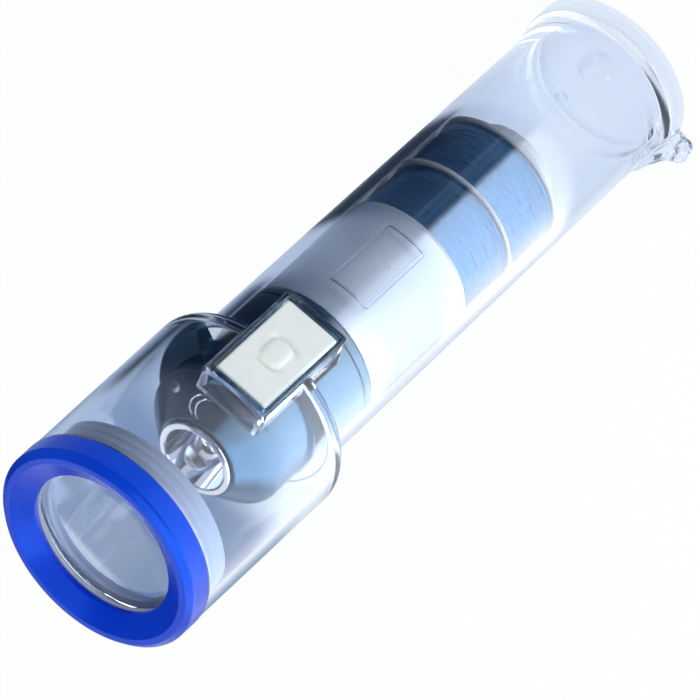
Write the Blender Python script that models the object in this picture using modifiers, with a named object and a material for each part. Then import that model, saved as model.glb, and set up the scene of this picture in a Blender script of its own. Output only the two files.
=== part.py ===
"""A clear shake flashlight: a magnet slides through a coil in the barrel and charges the lamp in the head.

The torch stands on its tail with the lens up the Z axis. The push switch faces -Y and the lanyard lug -X.
"""

import math

import bmesh
import bpy
from mathutils import Matrix, Vector

MM = 0.001

# Driving sizes of the case
TOTAL_LENGTH = 172.0 * MM
HEAD_LENGTH = 45.0 * MM
HEAD_RADIUS = 23.2 * MM
BARREL_SHARE = 0.78
BARREL_TAPER = 0.8 * MM
WALL = 2.0 * MM
SHOULDER_FILLET = 3.0 * MM
FLARE_TOP = 14.5 * MM
FLARE_RISE = 1.1 * MM
LIP_HEIGHT = 4.8 * MM
LIP_PROUD = 1.4 * MM
LIP_EDGE = 0.5 * MM
LIP_WALL = 2.6 * MM
FOOT_RECESS = 3.0 * MM

# Clearances: between pieces at rest, and round pieces that move
SEAT_GAP = 0.3 * MM
RUNNING_GAP = 0.4 * MM
OVERRUN = 4.0 * MM
WELD_DISTANCE = 0.001 * MM
SHARP_ANGLE = math.radians(35)

# Blue screw-on bezel
BEZEL_HEIGHT = 6.1 * MM
BEZEL_PROUD = 0.2 * MM
BEZEL_EDGE = 1.3 * MM
BEZEL_REAR_CHAMFER = 0.5 * MM
BEZEL_FACE_WIDTH = 1.4 * MM
BEZEL_OPENING_INSET = 7.1 * MM
BEZEL_DISH = 2.4 * MM
BEZEL_LIP_THICKNESS = 1.2 * MM
SKIRT_LENGTH = 7.4 * MM

# Lens, its gasket and its retaining ring
LENS_OVERLAP = 1.5 * MM
LENS_RIM_THICKNESS = 2.4 * MM
LENS_BULGE = 1.5 * MM
GASKET_THICKNESS = 1.2 * MM
RETAINER_HEIGHT = 1.8 * MM
RETAINER_WIDTH = 1.8 * MM

# Electronics module behind the lamp
MODULE_REACH = 16.9 * MM
NOSE_REACH = 18.9 * MM
NOSE_LENGTH = 6.5 * MM
NOSE_FACE_RADIUS = 9.3 * MM
COVER_THICKNESS = 2.1 * MM
MODULE_WALL = 3.1 * MM
WEB_THICKNESS = 2.0 * MM
WEB_HOLE_RADIUS = 3.0 * MM
SCREW_RADIUS = 0.8 * MM
SCREW_HEAD_RADIUS = 1.2 * MM
SCREW_HEAD_HEIGHT = 0.9 * MM
SCREW_LENGTH = 6.0 * MM

# Lamp and reflector
CUP_RIM_RADIUS = 8.6 * MM
CUP_RIM_HEIGHT = 0.6 * MM
CUP_MOUTH_RADIUS = 7.1 * MM
CUP_WALL = 0.6 * MM
LAMP_RADIUS = 2.5 * MM
LAMP_FLANGE_RADIUS = 2.9 * MM
LAMP_FLANGE_HEIGHT = 1.0 * MM
LAMP_HEIGHT = 8.7 * MM
LAMP_BOARD_THICKNESS = 1.2 * MM
LAMP_SETBACK = 4.0 * MM

# Circuit board and what it carries
BOARD_THICKNESS = 1.2 * MM
BOARD_MARGIN = 0.6 * MM
CAPACITOR_CLEARANCE = 2.07 * MM
CAPACITOR_LENGTH = 13.5 * MM
DIODE_RADIUS = 1.1 * MM
DIODE_LENGTH = 4.2 * MM
DIODE_SPREAD = 9.6 * MM
DIODE_PITCH = 7.5 * MM
RESISTOR_RADIUS = 0.9 * MM
RESISTOR_LENGTH = 5.2 * MM
WIRE_RADIUS = 0.35 * MM
LAMP_WIRE_SPREAD = 2.6 * MM

# Push switch
SWITCH_SETBACK = 2.5 * MM
FRAME_END_BORDER = 1.9 * MM
FRAME_SIDE_BORDER = 1.35 * MM
FRAME_INSET = 0.8 * MM
FRAME_EDGE = 0.5 * MM
BUTTON_LENGTH = 23.7 * MM
BUTTON_WIDTH = 12.6 * MM
BUTTON_INSET = 0.3 * MM
BUTTON_THICKNESS = 1.7 * MM
BUTTON_EDGE = 0.3 * MM
BUTTON_BOSS_RADIUS = 1.6 * MM
BUMP_LENGTH = 6.4 * MM
BUMP_WIDTH = 5.4 * MM
BUMP_HEIGHT = 0.8 * MM
BUMP_EDGE = 0.7 * MM
TAB_LENGTH = 0.9 * MM
TAB_WIDTH = 6.0 * MM
TAB_THICKNESS = 0.8 * MM
BUTTON_TRAVEL = 1.0 * MM
DECK_DEPTH = 9.3 * MM
SWITCH_BOARD_THICKNESS = 1.0 * MM
SWITCH_BOARD_INSET = 1.85 * MM
SWITCH_BOARD_WIDTH = 11.0 * MM
SWITCH_BODY_SIDE = 6.0 * MM
SWITCH_BODY_HEIGHT = 3.2 * MM
PLUNGER_RADIUS = 1.6 * MM
PLUNGER_LENGTH = 2.1 * MM

# Generator: magnet, guide tube, coil and bumpers
SLEEVE_LENGTH = 30.2 * MM
SLEEVE_WALL = 1.0 * MM
COIL_SECTION_LENGTH = 13.9 * MM
COIL_SECTIONS = 2
FLANGE_THICKNESS = 1.6 * MM
MAGNET_SHARE = 0.36
MAGNET_LENGTH = 22.0 * MM
MAGNET_EDGE = 0.5 * MM
GUIDE_WALL = 1.0 * MM
GUIDE_TAIL = 3.3 * MM
BUMPER_THICKNESS = 3.0 * MM
BUMPER_EDGE = 0.6 * MM
END_CAP_RADIUS = 10.0 * MM
END_CAP_THICKNESS = 1.8 * MM
END_CAP_SPIGOT = 2.0 * MM
WINDING_LOOPS = 8
WINDING_POINTS_PER_LOOP = 24
WINDING_WIRE_RADIUS = 0.38 * MM
LEAD_RADIUS = 0.45 * MM
LEAD_ANGLE = math.radians(24)
LEAD_BOW = 1.0 * MM

# Small moulded features of the barrel
PANEL_LENGTH = 20.0 * MM
PANEL_WIDTH = 10.0 * MM
PANEL_RIDGE_WIDTH = 0.6 * MM
PANEL_RIDGE_HEIGHT = 0.35 * MM
PANEL_SETBACK = 6.0 * MM
BOSS_RADIUS = 1.3 * MM
BOSS_HEIGHT = 0.4 * MM
BOSS_PLACE = 26.0 * MM
NOTCH_LENGTH = 8.0 * MM
NOTCH_WIDTH = 4.4 * MM
NOTCH_DEPTH = 0.8 * MM

# Lanyard lug
LUG_THICKNESS = 4.0 * MM
LUG_HOLE_RADIUS = 1.3 * MM
LUG_RIM = 0.9 * MM
LUG_BASE = 0.9 * MM

# Facets
CASE_STEPS = 48
INNER_STEPS = 28
SMALL_STEPS = 16
ARC_POINTS = 4
CUP_POINTS = 6

# Levels along the axis, from the tail face
BEZEL_BOTTOM = TOTAL_LENGTH - BEZEL_HEIGHT
HEAD_FRONT = BEZEL_BOTTOM - SEAT_GAP
HEAD_REAR = HEAD_FRONT - HEAD_LENGTH
SWITCH_LEVEL = HEAD_REAR + SWITCH_SETBACK
MODULE_REAR = HEAD_REAR - MODULE_REACH
MODULE_FRONT = HEAD_REAR + NOSE_REACH
HOUSING_REAR = MODULE_REAR + COVER_THICKNESS + SEAT_GAP
COIL_FRONT = MODULE_REAR - 2 * SEAT_GAP - SLEEVE_LENGTH
FLANGE_STEP = COIL_SECTION_LENGTH + FLANGE_THICKNESS
COIL_REAR = COIL_FRONT - COIL_SECTIONS * FLANGE_STEP - FLANGE_THICKNESS
GUIDE_REAR = COIL_REAR - GUIDE_TAIL
GUIDE_FRONT = MODULE_REAR - SEAT_GAP
REAR_STOP = GUIDE_REAR + END_CAP_SPIGOT + SEAT_GAP + BUMPER_THICKNESS
FRONT_STOP = GUIDE_FRONT - SEAT_GAP - BUMPER_THICKNESS
MAGNET_REST = REAR_STOP + SEAT_GAP
MAGNET_TRAVEL = FRONT_STOP - SEAT_GAP - MAGNET_REST - MAGNET_LENGTH

# Radii that follow from the head
HEAD_BORE = HEAD_RADIUS - WALL
BARREL_FRONT_RADIUS = HEAD_RADIUS * BARREL_SHARE
BARREL_REAR_RADIUS = BARREL_FRONT_RADIUS - BARREL_TAPER
LIP_RADIUS = BARREL_REAR_RADIUS + LIP_PROUD
BEZEL_RADIUS = HEAD_RADIUS + BEZEL_PROUD
BEZEL_OPENING_RADIUS = BEZEL_RADIUS - BEZEL_OPENING_INSET
SKIRT_RADIUS = HEAD_BORE - SEAT_GAP
LENS_RADIUS = BEZEL_OPENING_RADIUS + LENS_OVERLAP
LENS_POCKET = LENS_RADIUS + SEAT_GAP
MAGNET_RADIUS = BARREL_FRONT_RADIUS * MAGNET_SHARE
GUIDE_BORE = MAGNET_RADIUS + RUNNING_GAP
GUIDE_RADIUS = GUIDE_BORE + GUIDE_WALL
BUMPER_RADIUS = GUIDE_BORE - SEAT_GAP

# Sizes of the switch that follow from the head and the button
FRAME_LENGTH = BUTTON_LENGTH + 2 * FRAME_END_BORDER
FRAME_WIDTH = BUTTON_WIDTH + 2 * FRAME_SIDE_BORDER
FRAME_TOP = HEAD_RADIUS - FRAME_INSET
BUTTON_TOP = FRAME_TOP - BUTTON_INSET
DECK_HEIGHT = HEAD_RADIUS - DECK_DEPTH
SWITCH_BOARD_LENGTH = BUTTON_LENGTH - 2 * SWITCH_BOARD_INSET


def barrel_radius(level):
    """Outer radius of the tapered barrel at a level above its flare."""
    share = (level - FLARE_TOP) / (HEAD_REAR - FLARE_TOP)
    return BARREL_REAR_RADIUS + share * (BARREL_FRONT_RADIUS - BARREL_REAR_RADIUS)


def barrel_bore(level):
    return barrel_radius(level) - WALL


MODULE_RADIUS = barrel_bore(MODULE_REAR) - SEAT_GAP
MODULE_CAVITY = MODULE_RADIUS - MODULE_WALL
CAPACITOR_ROOM = MODULE_CAVITY - BOARD_THICKNESS / 2 - SEAT_GAP
CAPACITOR_RADIUS = (CAPACITOR_ROOM - CAPACITOR_CLEARANCE) / 2
CUP_BORE = CUP_MOUTH_RADIUS + CUP_WALL + SEAT_GAP
WEB_FRONT = MODULE_FRONT - CUP_RIM_HEIGHT - LAMP_HEIGHT - LAMP_SETBACK
WEB_REAR = WEB_FRONT - WEB_THICKNESS
LAMP_BOARD_TOP = WEB_FRONT + SEAT_GAP + LAMP_BOARD_THICKNESS
LAMP_BASE = LAMP_BOARD_TOP + SEAT_GAP
CUP_BOTTOM = LAMP_BASE + LAMP_FLANGE_HEIGHT + SEAT_GAP
CUP_SHOULDER = MODULE_FRONT + SEAT_GAP
CUP_TOP = CUP_SHOULDER + CUP_RIM_HEIGHT
FLANGE_RADIUS = barrel_bore(COIL_REAR) - SEAT_GAP
SLEEVE_RADIUS = barrel_bore(COIL_FRONT) - SEAT_GAP
WINDING_RADIUS = FLANGE_RADIUS - SEAT_GAP - WINDING_WIRE_RADIUS
CORE_RADIUS = WINDING_RADIUS - WINDING_WIRE_RADIUS - SEAT_GAP

# Materials: base colour, roughness, metallic, alpha
MATERIALS = {
    "clear_plastic": ((0.86, 0.91, 0.97), 0.08, 0.0, 0.35),
    "blue_plastic": ((0.02, 0.07, 0.75), 0.12, 0.0, 0.85),
    "lens_plastic": ((0.92, 0.95, 0.99), 0.03, 0.0, 0.3),
    "gasket_rubber": ((0.55, 0.58, 0.64), 0.6, 0.0, 1.0),
    "chrome": ((0.86, 0.87, 0.9), 0.08, 1.0, 1.0),
    "lamp_epoxy": ((0.95, 0.96, 0.9), 0.1, 0.0, 0.8),
    "board_green": ((0.03, 0.22, 0.16), 0.45, 0.0, 1.0),
    "navy_plastic": ((0.015, 0.04, 0.12), 0.3, 0.0, 1.0),
    "steel": ((0.6, 0.6, 0.62), 0.35, 1.0, 1.0),
    "capacitor_sleeve": ((0.02, 0.03, 0.08), 0.35, 0.0, 1.0),
    "diode_black": ((0.02, 0.02, 0.02), 0.4, 0.0, 1.0),
    "resistor_tan": ((0.55, 0.42, 0.25), 0.45, 0.0, 1.0),
    "wire_red": ((0.5, 0.03, 0.02), 0.4, 0.0, 1.0),
    "button_cream": ((0.86, 0.88, 0.8), 0.4, 0.0, 1.0),
    "switch_black": ((0.03, 0.03, 0.035), 0.4, 0.0, 1.0),
    "milky_plastic": ((0.75, 0.82, 0.92), 0.25, 0.0, 0.7),
    "coil_core": ((0.02, 0.035, 0.09), 0.4, 0.0, 1.0),
    "coil_enamel": ((0.015, 0.05, 0.16), 0.22, 0.2, 1.0),
    "grey_plastic": ((0.4, 0.45, 0.55), 0.3, 0.0, 0.8),
    "magnet_nickel": ((0.7, 0.71, 0.73), 0.2, 1.0, 1.0),
    "bumper_rubber": ((0.03, 0.03, 0.035), 0.7, 0.0, 1.0),
}


def clear_scene():
    for obj in list(bpy.data.objects):
        bpy.data.objects.remove(obj, do_unlink=True)


def new_collection(name):
    collection = bpy.data.collections.new(name)
    bpy.context.scene.collection.children.link(collection)
    return collection


def new_material(name):
    colour, roughness, metallic, alpha = MATERIALS[name]
    material = bpy.data.materials.new(name)
    material.use_nodes = True
    shader = material.node_tree.nodes["Principled BSDF"]
    shader.inputs["Base Color"].default_value = (*colour, 1.0)
    shader.inputs["Roughness"].default_value = roughness
    shader.inputs["Metallic"].default_value = metallic
    shader.inputs["Alpha"].default_value = alpha
    return material


clear_scene()
PARTS = new_collection("shake_flashlight")
CUTTERS = new_collection("cutters")
LOOKS = {name: new_material(name) for name in MATERIALS}


def add_object(name, data, look=None):
    """Put data in the parts, or with no look among the cutters."""
    obj = bpy.data.objects.new(name, data)
    if look is None:
        CUTTERS.objects.link(obj)
        obj.hide_render = True
        obj.display_type = "WIRE"
        return obj
    data.materials.append(LOOKS[look])
    PARTS.objects.link(obj)
    return obj


def mesh_from(bm, name):
    mesh = bpy.data.meshes.new(name)
    bm.to_mesh(mesh)
    bm.free()
    mesh.shade_smooth()
    mesh.set_sharp_from_angle(angle=SHARP_ANGLE)
    return mesh


def turned(name, profile, look=None, steps=INNER_STEPS, is_ring=True):
    """Turn a profile of (radius, level) points about Z: down its outer side, and back up inside."""
    bm = bmesh.new()
    points = [bm.verts.new((radius, 0, level)) for radius, level in profile]
    for first, second in zip(points, points[1:]):
        bm.edges.new((first, second))
    if is_ring:
        bm.edges.new((points[-1], points[0]))
    mesh = bpy.data.meshes.new(name)
    bm.to_mesh(mesh)
    bm.free()
    obj = add_object(name, mesh, look)
    screw = obj.modifiers.new("Turn", "SCREW")
    screw.steps = steps
    screw.render_steps = steps
    screw.use_merge_vertices = True
    screw.merge_threshold = WELD_DISTANCE
    screw.use_smooth_shade = True
    return obj


def disc(name, radius, low, high, look, edge=0.0, steps=INNER_STEPS):
    """A solid round plug on the axis, with an edge chamfer at both ends."""
    inset = radius - edge
    if edge == 0.0:
        return turned(name, [(0, high), (radius, high), (radius, low), (0, low)], look, steps, False)
    profile = [(0, high), (inset, high), (radius, high - edge), (radius, low + edge), (inset, low), (0, low)]
    return turned(name, profile, look, steps, False)


def add_bevel(obj, width, segments=2):
    bevel = obj.modifiers.new("Bevel", "BEVEL")
    bevel.width = width
    bevel.segments = segments
    bevel.limit_method = "ANGLE"
    return obj


def block(name, size, centre, look=None, edge=0.0):
    """A box of the given size, placed by its centre."""
    bm = bmesh.new()
    bmesh.ops.create_cube(bm, size=1, matrix=Matrix.Diagonal((*size, 1)))
    obj = add_object(name, mesh_from(bm, name), look)
    obj.location = centre
    return add_bevel(obj, edge) if edge else obj


def rod(name, radius, length, centre, axis, look=None, steps=SMALL_STEPS):
    """A cylinder along an axis, placed by its centre."""
    bm = bmesh.new()
    turn = Vector((0, 0, 1)).rotation_difference(Vector(axis)).to_matrix().to_4x4()
    bmesh.ops.create_cone(
        bm, cap_ends=True, segments=steps, radius1=radius, radius2=radius, depth=length, matrix=turn
    )
    obj = add_object(name, mesh_from(bm, name), look)
    obj.location = centre
    return obj


def wire(name, points, radius, look, resolution=1):
    """A round wire along straight runs between points, with its ends closed."""
    curve = bpy.data.curves.new(name, "CURVE")
    curve.dimensions = "3D"
    spline = curve.splines.new("POLY")
    spline.points.add(len(points) - 1)
    for target, point in zip(spline.points, points):
        target.co = (*point, 1)
    curve.bevel_depth = radius
    curve.bevel_resolution = resolution
    curve.use_fill_caps = True
    return add_object(name, curve, look)


def boolean(obj, tool, operation):
    modifier = obj.modifiers.new(operation.title(), "BOOLEAN")
    modifier.operation = operation
    modifier.object = tool
    return obj


def cut(obj, tool):
    return boolean(obj, tool, "DIFFERENCE")


def join(obj, tool):
    return boolean(obj, tool, "UNION")


def arc(centre, radius, start, end, count=ARC_POINTS):
    """Points on an arc in the (radius, level) plane, from start to end in radians."""
    angles = [start + (end - start) * step / count for step in range(count + 1)]
    return [(centre[0] + radius * math.cos(a), centre[1] + radius * math.sin(a)) for a in angles]


def flare_profile():
    """The bell of the tail, from the straight barrel down to the lip."""
    points = []
    for step in range(ARC_POINTS + 1):
        share = step / ARC_POINTS
        rise = FLARE_RISE * (1 - math.cos(share * math.pi / 2))
        points.append((BARREL_REAR_RADIUS + rise, FLARE_TOP - share * (FLARE_TOP - LIP_HEIGHT)))
    return points


def case_profile():
    """Clear case: up the inside from the tail floor, over the front rim and down the outside."""
    floor = FOOT_RECESS + WALL
    shoulder = HEAD_REAR + WALL
    inner_fillet = SHOULDER_FILLET - WALL / 2
    inner_corner = (HEAD_BORE - inner_fillet, shoulder + inner_fillet)
    outer_corner = (HEAD_RADIUS - SHOULDER_FILLET, HEAD_REAR + SHOULDER_FILLET)
    inside = [(0, floor), (barrel_bore(FLARE_TOP), floor), (barrel_bore(FLARE_TOP), FLARE_TOP)]
    inside += [(barrel_bore(HEAD_REAR), shoulder)]
    inside += arc(inner_corner, inner_fillet, -math.pi / 2, 0)
    outside = [(HEAD_BORE, HEAD_FRONT), (HEAD_RADIUS, HEAD_FRONT)]
    outside += arc(outer_corner, SHOULDER_FILLET, 0, -math.pi / 2)
    neck = barrel_radius(HEAD_REAR)
    outside += [(neck + LIP_EDGE, HEAD_REAR), (neck, HEAD_REAR - LIP_EDGE)]
    outside += flare_profile()
    foot = LIP_RADIUS - LIP_WALL
    tail = [(LIP_RADIUS, LIP_HEIGHT - LIP_EDGE), (LIP_RADIUS, LIP_EDGE), (LIP_RADIUS - LIP_EDGE, 0)]
    tail += [(foot, 0), (foot, FOOT_RECESS), (0, FOOT_RECESS)]
    return inside + outside + tail


def panel_ridge():
    """The raised rectangular border on the barrel, as the part of a band that lies over a frame."""
    level = MODULE_REAR - PANEL_SETBACK - PANEL_LENGTH / 2
    high = level + PANEL_LENGTH
    low = level - PANEL_LENGTH
    band = turned(
        "panel_ridge",
        [
            (barrel_radius(high) + PANEL_RIDGE_HEIGHT, high),
            (barrel_radius(low) + PANEL_RIDGE_HEIGHT, low),
            (barrel_radius(low) - WALL / 2, low),
            (barrel_radius(high) - WALL / 2, high),
        ],
        steps=CASE_STEPS,
    )
    depth = BARREL_FRONT_RADIUS + OVERRUN
    centre = (0, -depth / 2, level)
    frame = block("panel_frame", (PANEL_WIDTH, depth, PANEL_LENGTH), centre)
    inner_size = (PANEL_WIDTH - 2 * PANEL_RIDGE_WIDTH, depth + OVERRUN, PANEL_LENGTH - 2 * PANEL_RIDGE_WIDTH)
    cut(frame, block("panel_window", inner_size, centre))
    return boolean(band, frame, "INTERSECT")


def thumb_notch():
    bm = bmesh.new()
    size = Matrix.Diagonal((NOTCH_WIDTH / 2, NOTCH_DEPTH * 2, NOTCH_LENGTH / 2, 1))
    bmesh.ops.create_uvsphere(bm, u_segments=12, v_segments=8, radius=1, matrix=size)
    notch = add_object("thumb_notch", mesh_from(bm, "thumb_notch"))
    notch.location = (0, -BARREL_REAR_RADIUS - NOTCH_DEPTH, FLARE_TOP)
    return notch


def make_case():
    case = turned("body_shell", case_profile(), "clear_plastic", CASE_STEPS, False)
    depth = HEAD_RADIUS - MODULE_CAVITY + OVERRUN
    hole_size = (FRAME_WIDTH + 2 * SEAT_GAP, depth, FRAME_LENGTH + 2 * SEAT_GAP)
    hole_centre = (0, -MODULE_CAVITY - depth / 2, SWITCH_LEVEL)
    cut(case, block("switch_hole", hole_size, hole_centre))
    join(case, panel_ridge())
    boss_length = WALL + BOSS_HEIGHT
    boss_place = -barrel_radius(BOSS_PLACE) - BOSS_HEIGHT + boss_length / 2
    join(case, rod("mould_boss", BOSS_RADIUS, boss_length, (0, boss_place, BOSS_PLACE), (0, 1, 0)))
    cut(case, thumb_notch())
    return case


def make_lug():
    """The triangular ear at the tail, a flat outline in the XZ plane with its cord hole."""
    hole_x = BEZEL_RADIUS - LUG_RIM - LUG_HOLE_RADIUS
    hole_z = LUG_BASE + LUG_RIM + LUG_HOLE_RADIUS
    ear = LUG_RIM + LUG_HOLE_RADIUS
    clear_of_lip = LIP_RADIUS + SEAT_GAP
    outline = arc((hole_x, hole_z), ear, -math.pi / 2, math.pi / 4, ARC_POINTS)
    outline += [(BARREL_REAR_RADIUS + 2 * SEAT_GAP, FLARE_TOP), (BARREL_REAR_RADIUS + SEAT_GAP, FLARE_TOP)]
    outline += [(radius + SEAT_GAP, level) for radius, level in flare_profile()[1:]]
    outline += [(clear_of_lip, LIP_HEIGHT), (clear_of_lip, LUG_BASE)]
    curve = bpy.data.curves.new("lug_outline", "CURVE")
    curve.dimensions = "2D"
    curve.fill_mode = "BOTH"
    curve.extrude = LUG_THICKNESS / 2
    spline = curve.splines.new("POLY")
    spline.points.add(len(outline) - 1)
    for target, (across, up) in zip(spline.points, outline):
        target.co = (across, up, 0, 1)
    spline.use_cyclic_u = True
    flat = add_object("lug_outline", curve)
    flat.matrix_world = Matrix.Rotation(math.pi, 4, "Z") @ Matrix.Rotation(math.pi / 2, 4, "X")
    bpy.context.view_layer.update()
    evaluated = flat.evaluated_get(bpy.context.evaluated_depsgraph_get())
    mesh = bpy.data.meshes.new_from_object(evaluated)
    bm = bmesh.new()
    bm.from_mesh(mesh)
    bmesh.ops.remove_doubles(bm, verts=bm.verts, dist=WELD_DISTANCE)
    lug = add_object("lanyard_lug", mesh_from(bm, "lanyard_lug"), "clear_plastic")
    lug.matrix_world = flat.matrix_world
    bpy.data.objects.remove(flat)
    hole = rod("lug_hole", LUG_HOLE_RADIUS, LUG_THICKNESS + OVERRUN, (-hole_x, 0, hole_z), (0, 1, 0))
    return cut(lug, hole)


def bezel_profile():
    """Blue ring: dished front, rounded edge, and a skirt that screws into the head."""
    face_outer = BEZEL_RADIUS - BEZEL_EDGE
    lip_top = TOTAL_LENGTH - BEZEL_DISH
    lip_bottom = lip_top - BEZEL_LIP_THICKNESS
    skirt_bottom = BEZEL_BOTTOM - SKIRT_LENGTH
    points = [(BEZEL_OPENING_RADIUS, lip_top), (face_outer - BEZEL_FACE_WIDTH, TOTAL_LENGTH)]
    points += arc((face_outer, TOTAL_LENGTH - BEZEL_EDGE), BEZEL_EDGE, math.pi / 2, 0)
    points += [(BEZEL_RADIUS, BEZEL_BOTTOM + BEZEL_REAR_CHAMFER)]
    points += [(BEZEL_RADIUS - BEZEL_REAR_CHAMFER, BEZEL_BOTTOM), (SKIRT_RADIUS, BEZEL_BOTTOM)]
    points += [(SKIRT_RADIUS, skirt_bottom), (LENS_POCKET, skirt_bottom)]
    points += [(LENS_POCKET, lip_bottom), (BEZEL_OPENING_RADIUS, lip_bottom)]
    return points


def lens_top_edge():
    return TOTAL_LENGTH - BEZEL_DISH - BEZEL_LIP_THICKNESS - 2 * SEAT_GAP - GASKET_THICKNESS


def lens_profile():
    """Flat behind, with a shallow dome in front that ends inside the gasket."""
    rim = lens_top_edge()
    base = rim - LENS_RIM_THICKNESS
    dome = BEZEL_OPENING_RADIUS - GASKET_THICKNESS
    points = []
    for step in range(ARC_POINTS + 1):
        share = step / ARC_POINTS
        points.append((dome * math.sin(share * math.pi / 2), rim + LENS_BULGE * math.cos(share * math.pi / 2)))
    return points + [(LENS_RADIUS, rim), (LENS_RADIUS, base), (0, base)]


def ring_profile(inner, outer, low, high):
    return [(outer, high), (outer, low), (inner, low), (inner, high)]


def make_front():
    """Bezel, lens, gasket and the ring that holds the lens from behind."""
    turned("bezel_ring", bezel_profile(), "blue_plastic", CASE_STEPS)
    turned("front_lens", lens_profile(), "lens_plastic", CASE_STEPS, False)
    middle = (LENS_POCKET + BEZEL_OPENING_RADIUS) / 2
    level = lens_top_edge() + SEAT_GAP + GASKET_THICKNESS / 2
    section = arc((middle, level), GASKET_THICKNESS / 2, math.pi, -math.pi, 8)[:-1]
    turned("lens_gasket", section, "gasket_rubber")
    high = lens_top_edge() - LENS_RIM_THICKNESS - SEAT_GAP
    inner = LENS_RADIUS - RETAINER_WIDTH
    turned("lens_retainer", ring_profile(inner, LENS_RADIUS, high - RETAINER_HEIGHT, high), "milky_plastic")


def cup_profile():
    """Reflector: a thin paraboloid bowl with a flat rim that rests on the nose of the module."""
    neck = LAMP_RADIUS + SEAT_GAP
    inner = []
    for step in range(CUP_POINTS + 1):
        share = step / CUP_POINTS
        radius = neck + (CUP_MOUTH_RADIUS - neck) * math.sqrt(share)
        inner.append((radius, CUP_BOTTOM + share * (CUP_TOP - CUP_BOTTOM)))
    outer = [(radius + CUP_WALL, level) for radius, level in inner[-2:0:-1]]
    mouth = CUP_MOUTH_RADIUS + CUP_WALL
    rim = [(CUP_RIM_RADIUS, CUP_TOP), (CUP_RIM_RADIUS, CUP_SHOULDER), (mouth, CUP_SHOULDER)]
    return rim + outer + [(neck + CUP_WALL, CUP_BOTTOM)] + inner


def make_lamp():
    turned("reflector_cup", cup_profile(), "chrome")
    top = LAMP_BASE + LAMP_HEIGHT - LAMP_RADIUS
    lamp = [(0, top + LAMP_RADIUS)] + arc((0, top), LAMP_RADIUS, math.pi / 2, 0)[1:]
    flange = LAMP_BASE + LAMP_FLANGE_HEIGHT
    lamp += [(LAMP_RADIUS, flange), (LAMP_FLANGE_RADIUS, flange)]
    lamp += [(LAMP_FLANGE_RADIUS, LAMP_BASE), (0, LAMP_BASE)]
    turned("led_lamp", lamp, "lamp_epoxy", SMALL_STEPS, False)
    disc("led_board", CUP_BORE - SEAT_GAP, WEB_FRONT + SEAT_GAP, LAMP_BOARD_TOP, "board_green")


def screw_places():
    radius = (MODULE_RADIUS + MODULE_CAVITY) / 2
    return [(1, (radius, 0)), (2, (-radius, 0))]


def make_module():
    """Navy housing with its rear cover, its screws, and a flat deck for the switch."""
    housing = turned(
        "module_housing",
        [
            (NOSE_FACE_RADIUS, MODULE_FRONT),
            (MODULE_RADIUS, MODULE_FRONT - NOSE_LENGTH),
            (MODULE_RADIUS, HOUSING_REAR),
            (MODULE_CAVITY, HOUSING_REAR),
            (MODULE_CAVITY, WEB_REAR),
            (WEB_HOLE_RADIUS, WEB_REAR),
            (WEB_HOLE_RADIUS, WEB_FRONT),
            (CUP_BORE, WEB_FRONT),
            (CUP_BORE, MODULE_FRONT),
        ],
        "navy_plastic",
        CASE_STEPS,
    )
    deck = (2 * MODULE_RADIUS, OVERRUN, FRAME_LENGTH + 2 * SEAT_GAP)
    cut(housing, block("deck_cut", deck, (0, -DECK_HEIGHT - OVERRUN / 2, SWITCH_LEVEL)))
    cover = disc("module_cover", MODULE_RADIUS, MODULE_REAR, HOUSING_REAR - SEAT_GAP, "navy_plastic")
    head_top = MODULE_REAR + SCREW_HEAD_HEIGHT
    bore = SCREW_RADIUS + SEAT_GAP
    for number, (x, y) in screw_places():
        depth = 2 * (SCREW_LENGTH + SEAT_GAP)
        cut(housing, rod(f"screw_bore_{number}", bore, depth, (x, y, MODULE_REAR), (0, 0, 1)))
        cut(cover, rod(f"cover_bore_{number}", bore, depth, (x, y, MODULE_REAR), (0, 0, 1)))
        recess = 2 * (SCREW_HEAD_HEIGHT + SEAT_GAP)
        recess_radius = SCREW_HEAD_RADIUS + SEAT_GAP / 2
        cut(cover, rod(f"head_recess_{number}", recess_radius, recess, (x, y, MODULE_REAR), (0, 0, 1)))
        shank = [(0, MODULE_REAR + SCREW_LENGTH), (SCREW_RADIUS, MODULE_REAR + SCREW_LENGTH - SCREW_RADIUS)]
        shank += [(SCREW_RADIUS, head_top), (SCREW_HEAD_RADIUS, head_top), (SCREW_HEAD_RADIUS, MODULE_REAR)]
        screw = turned(f"module_screw_{number}", shank + [(0, MODULE_REAR)], "steel", SMALL_STEPS, False)
        screw.location = (x, y, 0)


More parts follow.
